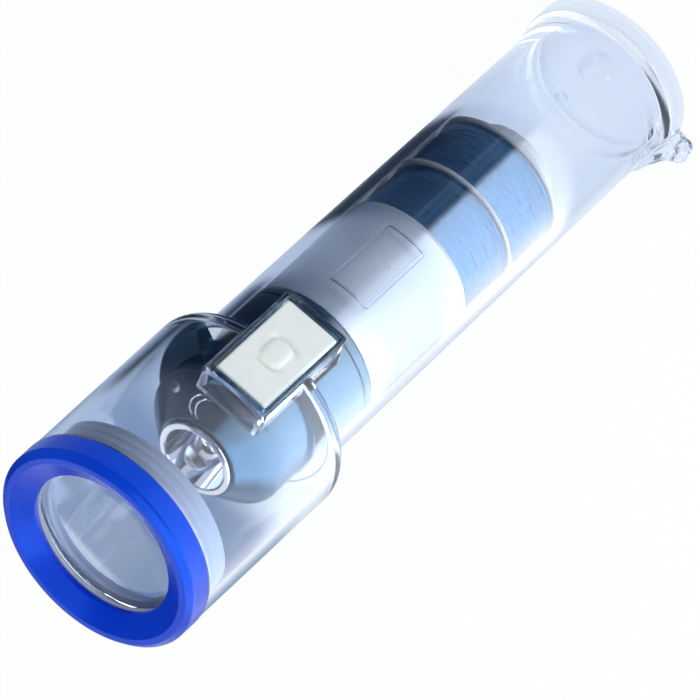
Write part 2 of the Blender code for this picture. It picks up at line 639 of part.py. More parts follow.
def make_circuit():
    """Upright circuit board in the housing, with the storage capacitor behind and the diodes in front."""
    low = HOUSING_REAR - SEAT_GAP + BOARD_MARGIN
    high = WEB_REAR - SEAT_GAP
    middle = (low + high) / 2
    width = 2 * (MODULE_CAVITY - BOARD_MARGIN)
    block("circuit_board", (width, BOARD_THICKNESS, high - low), (0, 0, middle), "board_green")
    capacitor_y = BOARD_THICKNESS / 2 + SEAT_GAP + CAPACITOR_RADIUS
    capacitor = disc(
        "storage_capacitor",
        CAPACITOR_RADIUS,
        middle - CAPACITOR_LENGTH / 2,
        middle + CAPACITOR_LENGTH / 2,
        "capacitor_sleeve",
        MAGNET_EDGE,
        SMALL_STEPS,
    )
    capacitor.location = (0, capacitor_y, 0)
    diode_y = -BOARD_THICKNESS / 2 - SEAT_GAP - DIODE_RADIUS
    number = 1
    for side in (-1, 1):
        for end in (-1, 1):
            place = (side * DIODE_SPREAD / 2, diode_y, middle + end * DIODE_PITCH / 2)
            rod(f"rectifier_diode_{number}", DIODE_RADIUS, DIODE_LENGTH, place, (1, 0, 0), "diode_black", 12)
            number += 1
    resistor_y = -BOARD_THICKNESS / 2 - SEAT_GAP - RESISTOR_RADIUS
    place = (0, resistor_y, middle)
    rod("lamp_resistor", RESISTOR_RADIUS, RESISTOR_LENGTH, place, (0, 0, 1), "resistor_tan", 12)
    for number, side in ((1, -1), (2, 1)):
        x = side * LAMP_WIRE_SPREAD / 2
        wire(f"lamp_wire_{number}", [(x, 0, high + SEAT_GAP), (x, 0, WEB_FRONT)], WIRE_RADIUS, "wire_red", 2)


def make_switch():
    """Clear frame through the case wall, the cream button in it, and the tact switch below."""
    frame_bottom = DECK_HEIGHT + SEAT_GAP
    frame_depth = FRAME_TOP - frame_bottom
    frame_centre = (0, -(FRAME_TOP + frame_bottom) / 2, SWITCH_LEVEL)
    frame_size = (FRAME_WIDTH, frame_depth, FRAME_LENGTH)
    frame = block("switch_frame", frame_size, frame_centre, "clear_plastic", FRAME_EDGE)
    window_width = BUTTON_WIDTH + 2 * SEAT_GAP
    window_size = (window_width, frame_depth + OVERRUN, BUTTON_LENGTH + 2 * SEAT_GAP)
    cut(frame, block("switch_window", window_size, frame_centre))
    button_bottom = BUTTON_TOP - BUTTON_THICKNESS
    slot_top = button_bottom + TAB_THICKNESS + SEAT_GAP
    slot_depth = slot_top - frame_bottom + OVERRUN
    slot_length = BUTTON_LENGTH + 2 * (TAB_LENGTH + SEAT_GAP)
    slot_size = (TAB_WIDTH + 2 * SEAT_GAP, slot_depth, slot_length)
    cut(frame, block("tab_slots", slot_size, (0, -slot_top + slot_depth / 2, SWITCH_LEVEL)))

    button_centre = (0, -BUTTON_TOP + BUTTON_THICKNESS / 2, SWITCH_LEVEL)
    button_size = (BUTTON_WIDTH, BUTTON_THICKNESS, BUTTON_LENGTH)
    button = block("switch_button", button_size, button_centre, "button_cream", BUTTON_EDGE)
    bump_depth = BUMP_HEIGHT + BUTTON_THICKNESS / 2
    bump_centre = (0, -BUTTON_TOP - BUMP_HEIGHT + bump_depth / 2, SWITCH_LEVEL)
    join(button, block("button_bump", (BUMP_WIDTH, bump_depth, BUMP_LENGTH), bump_centre, None, BUMP_EDGE))
    tab_centre = (0, -button_bottom - TAB_THICKNESS / 2, SWITCH_LEVEL)
    tab_size = (TAB_WIDTH, TAB_THICKNESS, BUTTON_LENGTH + 2 * TAB_LENGTH)
    join(button, block("button_tabs", tab_size, tab_centre))

    board_low = DECK_HEIGHT + SEAT_GAP
    board_high = board_low + SWITCH_BOARD_THICKNESS
    board_size = (SWITCH_BOARD_WIDTH, SWITCH_BOARD_THICKNESS, SWITCH_BOARD_LENGTH)
    block("switch_board", board_size, (0, -(board_low + board_high) / 2, SWITCH_LEVEL), "board_green")
    body_low = board_high + SEAT_GAP
    body_high = body_low + SWITCH_BODY_HEIGHT
    body_size = (SWITCH_BODY_SIDE, SWITCH_BODY_HEIGHT, SWITCH_BODY_SIDE)
    body_centre = (0, -(body_low + body_high) / 2, SWITCH_LEVEL)
    body = block("switch_body", body_size, body_centre, "switch_black", SEAT_GAP)
    plunger_low = body_high - PLUNGER_RADIUS / 2
    plunger_high = plunger_low + PLUNGER_LENGTH
    well_low = plunger_low - BUTTON_TRAVEL - SEAT_GAP
    well_depth = body_high - well_low + OVERRUN
    well_centre = (0, -well_low - well_depth / 2, SWITCH_LEVEL)
    cut(body, rod("plunger_well", PLUNGER_RADIUS + SEAT_GAP, well_depth, well_centre, (0, 1, 0)))
    plunger_centre = (0, -(plunger_low + plunger_high) / 2, SWITCH_LEVEL)
    rod("switch_plunger", PLUNGER_RADIUS, PLUNGER_LENGTH, plunger_centre, (0, 1, 0), "switch_black")
    boss_low = plunger_high + SEAT_GAP
    boss_high = button_bottom + BUTTON_THICKNESS / 2
    boss_centre = (0, -(boss_low + boss_high) / 2, SWITCH_LEVEL)
    join(button, rod("button_boss", BUTTON_BOSS_RADIUS, boss_high - boss_low, boss_centre, (0, 1, 0)))


def bobbin_profile():
    """Guide tube of the magnet, with the flanges that bound the coil sections."""
    points = [(GUIDE_RADIUS, GUIDE_FRONT)]
    for number in range(COIL_SECTIONS + 1):
        high = COIL_FRONT - number * FLANGE_STEP
        low = high - FLANGE_THICKNESS
        points += [(GUIDE_RADIUS, high), (FLANGE_RADIUS, high), (FLANGE_RADIUS, low), (GUIDE_RADIUS, low)]
    return points + [(GUIDE_RADIUS, GUIDE_REAR), (GUIDE_BORE, GUIDE_REAR), (GUIDE_BORE, GUIDE_FRONT)]


def winding_points(low, high):
    """One helix between two flanges, whose ends run straight towards the flange faces."""
    straight = 2 * WINDING_WIRE_RADIUS
    first = low + straight
    rise = high - straight - first
    count = WINDING_LOOPS * WINDING_POINTS_PER_LOOP
    points = [(WINDING_RADIUS, 0, low)]
    for step in range(count + 1):
        angle = 2 * math.pi * step / WINDING_POINTS_PER_LOOP
        level = first + rise * step / count
        points.append((WINDING_RADIUS * math.cos(angle), WINDING_RADIUS * math.sin(angle), level))
    return points + [(points[-1][0], points[-1][1], high)]


def least_gap(points):
    """Smallest clear distance of a winding to itself, between points at least half a loop apart."""
    places = [Vector(point) for point in points]
    apart = WINDING_POINTS_PER_LOOP // 2
    distances = [
        (places[i] - places[j]).length for i in range(len(places)) for j in range(i + apart, len(places))
    ]
    return min(distances) - 2 * WINDING_WIRE_RADIUS


def make_coil():
    turned("coil_bobbin", bobbin_profile(), "milky_plastic", INNER_STEPS)
    for number, name in enumerate(("front", "rear")):
        high = COIL_FRONT - FLANGE_THICKNESS - number * FLANGE_STEP - SEAT_GAP
        low = high - COIL_SECTION_LENGTH + 2 * SEAT_GAP
        core = ring_profile(GUIDE_RADIUS + SEAT_GAP, CORE_RADIUS, low, high)
        turned(f"coil_core_{name}", core, "coil_core")
        points = winding_points(low, high)
        wire(f"coil_winding_{name}", points, WINDING_WIRE_RADIUS, "coil_enamel")
        print(f"coil_winding_{name}: least gap to itself {least_gap(points) / MM:.2f} mm")


def make_generator():
    """Magnet between its rubber bumpers in the guide tube, the end cap and the grey sleeve."""
    disc("shake_magnet", MAGNET_RADIUS, MAGNET_REST, MAGNET_REST + MAGNET_LENGTH, "magnet_nickel", MAGNET_EDGE)
    disc("rear_bumper", BUMPER_RADIUS, REAR_STOP - BUMPER_THICKNESS, REAR_STOP, "bumper_rubber", BUMPER_EDGE)
    disc("front_bumper", BUMPER_RADIUS, FRONT_STOP, FRONT_STOP + BUMPER_THICKNESS, "bumper_rubber", BUMPER_EDGE)
    cap_high = GUIDE_REAR - SEAT_GAP
    cap_low = cap_high - END_CAP_THICKNESS
    spigot = GUIDE_REAR + END_CAP_SPIGOT
    cap = [(0, spigot), (BUMPER_RADIUS, spigot), (BUMPER_RADIUS, cap_high), (END_CAP_RADIUS, cap_high)]
    cap += [(END_CAP_RADIUS, cap_low), (0, cap_low)]
    turned("guide_end_cap", cap, "milky_plastic", INNER_STEPS, False)
    low = COIL_FRONT + SEAT_GAP
    sleeve = ring_profile(SLEEVE_RADIUS - SLEEVE_WALL, SLEEVE_RADIUS, low, low + SLEEVE_LENGTH)
    turned("spacer_sleeve", sleeve, "grey_plastic", CASE_STEPS)
    middle = (GUIDE_RADIUS + SLEEVE_RADIUS - SLEEVE_WALL) / 2
    for number, side in ((1, -1), (2, 1)):
        across = side * middle * math.sin(LEAD_ANGLE)
        deep = middle * math.cos(LEAD_ANGLE)
        points = []
        for step in range(ARC_POINTS * 2 + 1):
            share = step / (ARC_POINTS * 2)
            bow = LEAD_BOW * math.sin(math.pi * share)
            points.append((across, deep - bow, low + share * SLEEVE_LENGTH))
        wire(f"coil_lead_{number}", points, LEAD_RADIUS, "wire_red", 2)


def add_joint_axes():
    """Empties on the joint axes, with the pieces that move along or about them as children."""
    axes = {
        "magnet_slide": ((0, 0, MAGNET_REST), ["shake_magnet"]),
        "button_press": ((0, 0, SWITCH_LEVEL), ["switch_button", "switch_plunger"]),
        "bezel_thread": ((0, 0, BEZEL_BOTTOM), ["bezel_ring", "front_lens", "lens_gasket", "lens_retainer"]),
    }
    for name, (place, children) in axes.items():
        empty = bpy.data.objects.new(name, None)
        empty.location = place
        PARTS.objects.link(empty)
        bpy.context.view_layer.update()
        for child in children:
            obj = bpy.data.objects[child]
            obj.parent = empty
            obj.matrix_parent_inverse = empty.matrix_world.inverted()


make_case()
make_lug()
make_front()
make_lamp()
make_module()
make_circuit()
make_switch()
make_coil()
make_generator()
add_joint_axes()
print(f"magnet travel {MAGNET_TRAVEL / MM:.2f} mm, switch level {SWITCH_LEVEL / MM:.2f} mm")
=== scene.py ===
"""Dresses the shake flashlight: clear case, blue ring, coil, module and push switch, on a pale floor.

Every length below is in millimetres unless a line says otherwise, in the frame of the part:
+Z runs from the tail to the lens, the push switch faces -Y and the lanyard lug -X.
"""

import math

import bmesh
import bpy
from mathutils import Matrix, Vector


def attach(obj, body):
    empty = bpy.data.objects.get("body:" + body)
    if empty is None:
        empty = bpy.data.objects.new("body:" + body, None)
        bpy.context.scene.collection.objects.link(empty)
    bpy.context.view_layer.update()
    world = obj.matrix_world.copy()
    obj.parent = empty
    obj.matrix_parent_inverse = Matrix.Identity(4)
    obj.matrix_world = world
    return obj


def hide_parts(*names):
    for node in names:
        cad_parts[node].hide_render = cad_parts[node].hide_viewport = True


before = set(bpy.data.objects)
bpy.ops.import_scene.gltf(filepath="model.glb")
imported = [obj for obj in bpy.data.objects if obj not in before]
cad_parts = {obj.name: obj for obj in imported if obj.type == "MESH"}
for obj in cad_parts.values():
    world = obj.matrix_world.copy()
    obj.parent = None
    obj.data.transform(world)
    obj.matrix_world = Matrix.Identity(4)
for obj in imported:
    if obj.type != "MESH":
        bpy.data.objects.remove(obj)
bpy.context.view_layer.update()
MM = 0.001

# Sizes of the case, the same as in the solids
HEAD_R = 23.2
HEAD_BORE = 21.2
HEAD_REAR = 120.6
HEAD_FRONT = 165.6
BARREL_FRONT_R = 18.096
BARREL_REAR_R = 17.296
FLARE_TOP = 14.5
LIP_R = 18.696
LIP_TOP = 4.8
SWITCH_LEVEL = 123.1
BUTTON_TOP = 22.1

# Other sizes that more than one piece goes by
SKIRT_R = 18.1
SKIRT_LOW = 158.5
SKIRT_HIGH = 165.85
THREAD_PITCH = 2.0
PANEL_LEVEL = 87.7
BOSS_LEVEL = 26
BOSS_STEPS = 32
LUG_X = -21.2
LUG_Z = 3.1
MODULE_R = 15.67
GUIDE_R = 7.91
RIB_R = 15.19
RIBS = (72.6, 71.8), (57.0, 56.2), (41.5, 40.7)
SLEEVE_LOW = 72.7
SLEEVE_HIGH = 103.4

# Points round a turned piece
FINE = 192
ROUND = 128
SMALL = 64


def finish_mesh(name, bm, look, body="root", sharp=35, slot=None, replaces=()):
    """Turns a bmesh into a smooth piece with crisp edges that rides on a body."""
    bmesh.ops.remove_doubles(bm, verts=bm.verts, dist=1e-7)
    bmesh.ops.dissolve_degenerate(bm, edges=bm.edges, dist=1e-8)
    bmesh.ops.recalc_face_normals(bm, faces=bm.faces)
    limit = math.radians(sharp)
    for edge in bm.edges:
        edge.smooth = not (len(edge.link_faces) == 2 and edge.calc_face_angle(0) > limit)
    for face in bm.faces:
        face.smooth = True
    mesh = bpy.data.meshes.new(name)
    bm.to_mesh(mesh)
    bm.free()
    obj = bpy.data.objects.new(name, mesh)
    bpy.context.scene.collection.objects.link(obj)
    mesh.materials.append(look)
    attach(obj, body)
    if replaces:
        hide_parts(*replaces)
    return obj


def skin(loops, ring=True, caps=False):
    """Faces between loops of equal count; ring joins the last loop to the first."""
    bm = bmesh.new()
    rows = [[bm.verts.new(Vector(p) * MM) for p in loop] for loop in loops]
    count = len(loops[0])
    pairs = list(zip(rows, rows[1:] + rows[:1])) if ring else list(zip(rows, rows[1:]))
    for a, b in pairs:
        for i in range(count):
            j = (i + 1) % count
            bm.faces.new((a[i], a[j], b[j], b[i]))
    if caps:
        bm.faces.new(rows[0])
        bm.faces.new(rows[-1])
    return bm


def circle(radius, level, steps):
    return [
        (radius * math.cos(2 * math.pi * i / steps), radius * math.sin(2 * math.pi * i / steps), level)
        for i in range(steps)
    ]


def rounded(corners, segments=4):
    """A closed section whose corners (radius, level, fillet) are rounded."""
    points = []
    count = len(corners)
    for i, (r, z, fillet) in enumerate(corners):
        if not fillet:
            points.append((r, z))
            continue
        p = Vector((r, z))
        a = (Vector(corners[i - 1][:2]) - p).normalized()
        b = (Vector(corners[(i + 1) % count][:2]) - p).normalized()
        half = a.angle(b) / 2
        start = p + a * fillet / math.tan(half)
        end = p + b * fillet / math.tan(half)
        centre = p + (a + b).normalized() * fillet / math.sin(half)
        for k in range(segments + 1):
            offset = (start - centre).lerp(end - centre, k / segments).normalized() * fillet
            points.append(tuple(centre + offset))
    return points


def held(section, margin=0.12):
    """Adds a point near both ends of each long side, so that its shading stays straight."""
    points = []
    for i, p in enumerate(section):
        q = section[(i + 1) % len(section)]
        points.append(p)
        length = math.dist(p, q)
        if length > 5 * margin:
            for share in (margin / length, 1 - margin / length):
                points.append((p[0] + (q[0] - p[0]) * share, p[1] + (q[1] - p[1]) * share))
    return points


def lathe(name, section, look, steps=ROUND, **how):
    """A turned piece from a closed section of (radius, level) points."""
    section = held(section)
    return finish_mesh(name, skin([circle(max(r, 0), z, steps) for r, z in section]), look, **how)


def tube(path, radius, sides=8):
    """Loops of a round tube along a path of points."""
    loops = []
    points = [Vector(p) for p in path]
    side = None
    for i, p in enumerate(points):
        along = (points[min(i + 1, len(points) - 1)] - points[max(i - 1, 0)]).normalized()
        if side is None:
            side = along.orthogonal().normalized()
        side = (side - along * side.dot(along)).normalized()
        up = along.cross(side)
        loops.append([
            p + (side * math.cos(2 * math.pi * k / sides) + up * math.sin(2 * math.pi * k / sides)) * radius
            for k in range(sides)
        ])
    return loops


def rect_loop(width, length, corner, per_corner=6):
    """Points (x, z) round a rectangle with round corners, centred on the origin."""
    points = []
    for k, (sx, sz) in enumerate(((1, 1), (-1, 1), (-1, -1), (1, -1))):
        cx = sx * (width / 2 - corner)
        cz = sz * (length / 2 - corner)
        for step in range(per_corner + 1):
            a = math.pi / 2 * (k + step / per_corner)
            points.append((cx + corner * math.cos(a), cz + corner * math.sin(a)))
    return points


def boolean(obj, tool, operation="DIFFERENCE"):
    """Cuts or joins another mesh for good, and removes the tool."""
    modifier = obj.modifiers.new("Boolean", "BOOLEAN")
    modifier.operation = operation
    modifier.solver = "EXACT"
    modifier.object = tool
    graph = bpy.context.evaluated_depsgraph_get()
    mesh = bpy.data.meshes.new_from_object(obj.evaluated_get(graph))
    obj.modifiers.clear()
    obj.data = mesh
    bpy.data.objects.remove(tool)
    bm = bmesh.new()
    bm.from_mesh(mesh)
    for edge in bm.edges:
        edge.smooth = not (len(edge.link_faces) == 2 and edge.calc_face_angle(0) > math.radians(35))
    for face in bm.faces:
        face.smooth = True
    bm.to_mesh(mesh)
    bm.free()


def cutter(loops):
    """A closed prism that only cuts."""
    bm = skin(loops, ring=False, caps=True)
    bmesh.ops.recalc_face_normals(bm, faces=bm.faces)
    mesh = bpy.data.meshes.new("cutter")
    bm.to_mesh(mesh)
    bm.free()
    obj = bpy.data.objects.new("cutter", mesh)
    bpy.context.scene.collection.objects.link(obj)
    return obj


def barrel_radius(level):
    share = (level - FLARE_TOP) / (HEAD_REAR - FLARE_TOP)
    return BARREL_REAR_R + share * (BARREL_FRONT_R - BARREL_REAR_R)


def new_look(name, colour, roughness=0.4, **inputs):
    """A material on one Principled shader; names of its inputs are given with underscores."""
    look = bpy.data.materials.new(name)
    look.use_nodes = True
    shader = look.node_tree.nodes["Principled BSDF"]
    shader.inputs["Base Color"].default_value = (*colour, 1)
    shader.inputs["Roughness"].default_value = roughness
    for key, value in inputs.items():
        shader.inputs[key.replace("_", " ")].default_value = value
    return look


def noise_of(look, scale):
    """A noise in the part's own space, with the given scale per metre."""
    nodes, links = look.node_tree.nodes, look.node_tree.links
    place = nodes.new("ShaderNodeTexCoord")
    noise = nodes.new("ShaderNodeTexNoise")
    noise.inputs["Scale"].default_value = scale
    noise.inputs["Detail"].default_value = 1.0
    links.new(place.outputs["Object"], noise.inputs["Vector"])
    return noise


def vary(look, socket, noise, low, high):
    """Drives a shader input between two values by a noise."""
    nodes, links = look.node_tree.nodes, look.node_tree.links
    shader = nodes["Principled BSDF"]
    ramp = nodes.new("ShaderNodeValToRGB")
    ramp.color_ramp.elements[0].position = 0.2
    ramp.color_ramp.elements[1].position = 0.8
    if isinstance(low, tuple):
        ramp.color_ramp.elements[0].color = (*low, 1)
        ramp.color_ramp.elements[1].color = (*high, 1)
    else:
        ramp.color_ramp.elements[0].color = (low, low, low, 1)
        ramp.color_ramp.elements[1].color = (high, high, high, 1)
    links.new(noise.outputs["Fac"], ramp.inputs["Fac"])
    links.new(ramp.outputs["Color"], shader.inputs[socket])


def bump(look, noise, strength):
    """A surface wave up to 0.2 mm deep at full strength."""
    nodes, links = look.node_tree.nodes, look.node_tree.links
    node = nodes.new("ShaderNodeBump")
    node.inputs["Strength"].default_value = strength
    node.inputs["Distance"].default_value = 0.0002
    links.new(noise.outputs["Fac"], node.inputs["Height"])
    links.new(node.outputs["Normal"], nodes["Principled BSDF"].inputs["Normal"])


def moulded(name, dark, pale, roughness, scale=150, grain=0.05, **inputs):
    """Moulded plastic: slightly cloudy colour, uneven gloss and a faint surface wave."""
    look = new_look(name, pale, roughness, **inputs)
    cloud = noise_of(look, scale)
    vary(look, "Base Color", cloud, dark, pale)
    vary(look, "Roughness", noise_of(look, scale * 3), roughness * 0.8, roughness * 1.3)
    bump(look, noise_of(look, scale * 2), grain)
    return look


CLEAR = moulded("clear_plastic", (0.87, 0.91, 0.98), (0.9, 0.93, 0.99), 0.045, 90, 0.01,
                Transmission_Weight=1.0, IOR=1.47)
LENS = moulded("lens_plastic", (0.95, 0.965, 0.99), (0.965, 0.975, 0.995), 0.01, 60, 0.01,
               Transmission_Weight=1.0, IOR=1.49)
FROST = moulded("frosted_plastic", (0.66, 0.76, 0.98), (0.74, 0.83, 1.0), 0.35, 60, 0.01,
                Transmission_Weight=0.25, IOR=1.4)
MILKY = moulded("milky_plastic", (0.93, 0.95, 0.99), (0.96, 0.98, 1.0), 0.2, 200, 0.03,
                Transmission_Weight=0.1, IOR=1.47)
BLUE = moulded("blue_plastic", (0.0, 0.015, 0.7), (0.006, 0.12, 1.0), 0.2, 32, 0.01,
               Transmission_Weight=0.3, IOR=1.9, Specular_Tint=(0.06, 0.22, 1.0, 1.0))
GASKET = moulded("gasket_silicone", (0.5, 0.55, 0.68), (0.62, 0.66, 0.78), 0.5, 300, 0.1)
CHROME = moulded("chrome", (0.8, 0.82, 0.87), (0.9, 0.91, 0.94), 0.06, 120, 0.01, Metallic=1.0)
EPOXY = moulded("lamp_epoxy", (0.92, 0.93, 0.9), (0.97, 0.97, 0.94), 0.03, 200, 0.01,
                Transmission_Weight=1.0, IOR=1.5)
NAVY = moulded("navy_plastic", (0.001, 0.03, 0.075), (0.003, 0.05, 0.11), 0.16, 120, 0.03,
               IOR=2.5, Specular_Tint=(0.42, 0.72, 0.97, 1.0))
CREAM = moulded("cream_plastic", (0.9, 0.93, 0.87), (0.93, 0.96, 0.9), 0.42, 220, 0.05)
BOARD = moulded("solder_mask", (0.01, 0.1, 0.07), (0.03, 0.22, 0.15), 0.3, 900, 0.15)
SLEEVE_INK = moulded("capacitor_sleeve", (0.01, 0.015, 0.05), (0.02, 0.03, 0.1), 0.35, 300, 0.1)
BLACK = moulded("moulded_black", (0.012, 0.012, 0.013), (0.03, 0.03, 0.032), 0.5, 500, 0.2)
TAN = moulded("resistor_lacquer", (0.45, 0.32, 0.18), (0.6, 0.46, 0.28), 0.35, 400, 0.1)
LEAD = moulded("wire_insulation", (0.35, 0.02, 0.015), (0.5, 0.035, 0.02), 0.35, 600, 0.1)
STEEL = moulded("screw_zinc", (0.45, 0.46, 0.48), (0.65, 0.66, 0.68), 0.3, 800, 0.1, Metallic=1.0)
TIN = moulded("tinned_wire", (0.6, 0.62, 0.64), (0.75, 0.77, 0.8), 0.25, 500, 0.03, Metallic=1.0)
RUBBER = moulded("bumper_rubber", (0.015, 0.016, 0.02), (0.035, 0.036, 0.042), 0.7, 500, 0.3)
NICKEL = moulded("nickel", (0.6, 0.6, 0.62), (0.72, 0.72, 0.74), 0.18, 300, 0.03, Metallic=1.0)
CORE = moulded("coil_varnish", (0.002, 0.008, 0.02), (0.004, 0.014, 0.035), 0.3, 400, 0.1)
ENAMEL = moulded("wire_enamel", (0.1, 0.225, 0.385), (0.15, 0.29, 0.46), 0.14, 900, 0.02,
                 Metallic=1.0)
SMOKY = moulded("smoky_plastic", (0.775, 0.842, 0.942), (0.79, 0.853, 0.948), 0.3, 40, 0.01,
                Metallic=0.5)


def dress(look, *names):
    """Gives carried-over solids their material."""
    for name in names:
        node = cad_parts[name]
        for slot in node.material_slots:
            slot.material = look


def case_section():
    """Clear case from the tail floor up the inside, over the rim and down the outside."""
    inner = [(0, 5), (15.3, 5, 0.6), (15.3, FLARE_TOP), (16.1, HEAD_REAR + 2), (HEAD_BORE, HEAD_REAR + 2, 2)]
    rim = [(HEAD_BORE, HEAD_FRONT, 0.25), (HEAD_R, HEAD_FRONT, 0.3)]
    shoulder = [(HEAD_R, HEAD_REAR, 3), (BARREL_FRONT_R + 0.2, HEAD_REAR, 0.2)]
    corners = [c if len(c) == 3 else (*c, 0) for c in inner + rim + shoulder]
    section = rounded(corners, 8)[:-1]
    levels = [HEAD_REAR - 0.5 - k for k in range(0, 106, 5)]
    levels = [z for z in levels if z > FLARE_TOP + 6] + [FLARE_TOP + 6 - 0.5 * k for k in range(12)]
    section += [(barrel_radius(z), z) for z in levels]
    for step in range(13):
        share = step / 12
        flare = 1.1 * (1 - math.cos(share * math.pi / 2))
        section.append((BARREL_REAR_R + flare, FLARE_TOP - share * (FLARE_TOP - LIP_TOP)))
    lip = rounded([
        (17, LIP_TOP, 0), (LIP_R, LIP_TOP, 0.4), (LIP_R, 0, 0.6), (16.1, 0, 0.3), (16.1, 3, 0.5),
        (0, 3, 0), (0, 4, 0),
    ], 5)
    return section + lip[1:-1]


def notch(point):
    """Depth of the thumb notch at a point of the tail's front."""
    x, y, z = point
    if y > 0:
        return 0
    across = x / 2.6
    along = (z - FLARE_TOP) / 4.2
    reach = across * across + along * along
    return 0.8 * max(0, 1 - reach) ** 0.7 if reach < 1 else 0


def make_case():
    loops = []
    for r, z in held(case_section()):
        loop = circle(r, z, FINE)
        if r > 16.5 and FLARE_TOP - 5 < z < FLARE_TOP + 5:
            shares = [1 - notch(point) / r for point in loop]
            loop = [(x * share, y * share, z) for share, (x, y, z) in zip(shares, loop)]
        loops.append(loop)
    case = finish_mesh("case", skin(loops), CLEAR, slot="clear_case", replaces=["body_shell"])
    outline = rect_loop(15.9, 28.1, 1.0)
    hole = [[(x, y, SWITCH_LEVEL + z) for x, z in outline] for y in (-10, -28)]
    boolean(case, cutter(hole))
    return case


def make_lug():
    """The ear with its hole and the gusset that runs up the flare."""
    ear = [(LUG_X + 2.2 * math.cos(a), LUG_Z + 2.2 * math.sin(a)) for a in
           [math.radians(250 - 10 * k) for k in range(15)]]
    outline = [(-17.3, 0.5), (-19.6, 0.75)] + ear
    outline += [(-20.6, 6.3), (-19.6, 8.2), (-18.6, 10.6), (-17.9, 13.2), (-17.2, 14.4), (-16.9, 9.0)]
    loops = []
    for y, shrink in ((-2.0, 0.35), (-1.85, 0.12), (-1.6, 0.0), (1.6, 0.0), (1.85, 0.12), (2.0, 0.35)):
        centre = Vector((-19.2, 5.2))
        loop = []
        for x, z in outline:
            p = Vector((x, z))
            inward = (centre - p).normalized() * shrink
            loop.append((x + inward.x, y, z + inward.y))
        loops.append(loop)
    lug = finish_mesh("lanyard_ear", skin(loops, ring=False, caps=True), CLEAR, slot="clear_case",
                      replaces=["lanyard_lug"], sharp=50)
    hole = [[(LUG_X + 1.3 * math.cos(a), y, LUG_Z + 1.3 * math.sin(a)) for a in
             [2 * math.pi * k / 32 for k in range(32)]] for y in (-3, 3)]
    boolean(lug, cutter(hole))
    return lug


def on_barrel(x, z, height):
    """A point at x across the barrel's front, raised above its surface."""
    r = barrel_radius(z)
    a = x / r
    return ((r + height) * math.sin(a), -(r + height) * math.cos(a), z)


def make_panel():
    """The raised rectangular ridge on the barrel and the small round mould boss."""
    outer = rect_loop(10.0, 20.0, 0.9, 5)
    inner = rect_loop(8.8, 18.8, 0.4, 5)

    def spread(loop, count=96):
        """The given number of points, evenly along a loop."""
        points = []
        for a, b in zip(loop, loop[1:] + loop[:1]):
            parts = max(1, int(math.dist(a, b) / 0.8))
            points += [(a[0] + (b[0] - a[0]) * k / parts, a[1] + (b[1] - a[1]) * k / parts)
                       for k in range(parts)]
        return [points[int(k * len(points) / count)] for k in range(count)]

    pairs = list(zip(spread(outer), spread(inner)))
    loops = []
    for u, height in ((0, -0.05), (0, 0.2), (0.2, 0.35), (0.8, 0.35), (1, 0.2), (1, -0.05)):
        loops.append([
            on_barrel(a[0] + (b[0] - a[0]) * u, PANEL_LEVEL + a[1] + (b[1] - a[1]) * u, height)
            for a, b in pairs
        ])
    finish_mesh("panel_ridge", skin(loops), CLEAR, slot="clear_case", sharp=60)
    rings = []
    for r, height in ((1.3, -0.05), (1.3, 0.2), (1.12, 0.4), (0.85, 0.4), (0.7, 0.2), (0.7, -0.05)):
        turns = [2 * math.pi * k / BOSS_STEPS for k in range(BOSS_STEPS)]
        rings.append([on_barrel(r * math.cos(a), BOSS_LEVEL + r * math.sin(a), height) for a in turns])
    finish_mesh("mould_boss", skin(rings), CLEAR, slot="clear_case", sharp=60)


def make_front():
    """The blue ring with its threaded skirt, and the lens, gasket and retaining ring that ride with it."""
    ring = rounded([
        (16.3, 168.45, 0.25), (16.3, 169.6, 0.35), (20.7, 172, 0.35), (22.1, 172, 0.5),
        (23.4, 170.7, 0.8), (23.4, 165.65, 0.4), (SKIRT_R, 165.65, 0), (SKIRT_R, 168.45, 0),
    ], 6)
    lathe("bezel", ring, BLUE, FINE, body="bezel", slot="blue_bezel", replaces=["bezel_ring"])
    levels = [SKIRT_HIGH - 0.2 * k for k in range(37)]
    loops = [circle(SKIRT_R, SKIRT_HIGH, FINE), circle(SKIRT_R, SKIRT_LOW, FINE)]
    for z in reversed(levels):
        loop = []
        for i in range(FINE):
            turn = i / FINE
            phase = ((z - SKIRT_LOW) / THREAD_PITCH - turn) % 1
            ridge = max(0, 1 - abs(phase - 0.5) * 3.2)
            fade = min(1, (z - SKIRT_LOW) / 0.8, (SKIRT_HIGH - z) / 1.6) if z > SKIRT_LOW else 0
            r = 20.65 + 0.35 * ridge * max(0, fade)
            loop.append((r * math.cos(2 * math.pi * turn), r * math.sin(2 * math.pi * turn), z))
        loops.append(loop)
    finish_mesh("bezel_thread", skin(loops), FROST, body="bezel", slot="milky_plastic", sharp=60)

    dome = [(15.1 * (1 - k / 12), 166.6 + 1.5 * (1 - (1 - k / 12) ** 2)) for k in range(13)]
    glass = [(0, 164.2), (17.3, 164.2), (17.8, 164.6), (17.8, 166.3), (17.5, 166.6)] + dome
    lathe("lens", glass, LENS, FINE, body="lens", slot="lens", replaces=["front_lens"])
    gasket = [(17.2 + 0.6 * math.cos(a), 167.5 + 0.6 * math.sin(a)) for a in
              [2 * math.pi * k / 20 for k in range(20)]]
    lathe("gasket_ring", gasket, GASKET, ROUND, body="lens", slot="gasket", replaces=["lens_gasket"])
    hold = rounded([(16, 162.1, 0.3), (17.8, 162.1, 0.3), (17.8, 163.9, 0.3), (16, 163.9, 0.6)])
    lathe("retaining_ring", hold, FROST, ROUND, body="lens", slot="milky_plastic",
          replaces=["lens_retainer"])


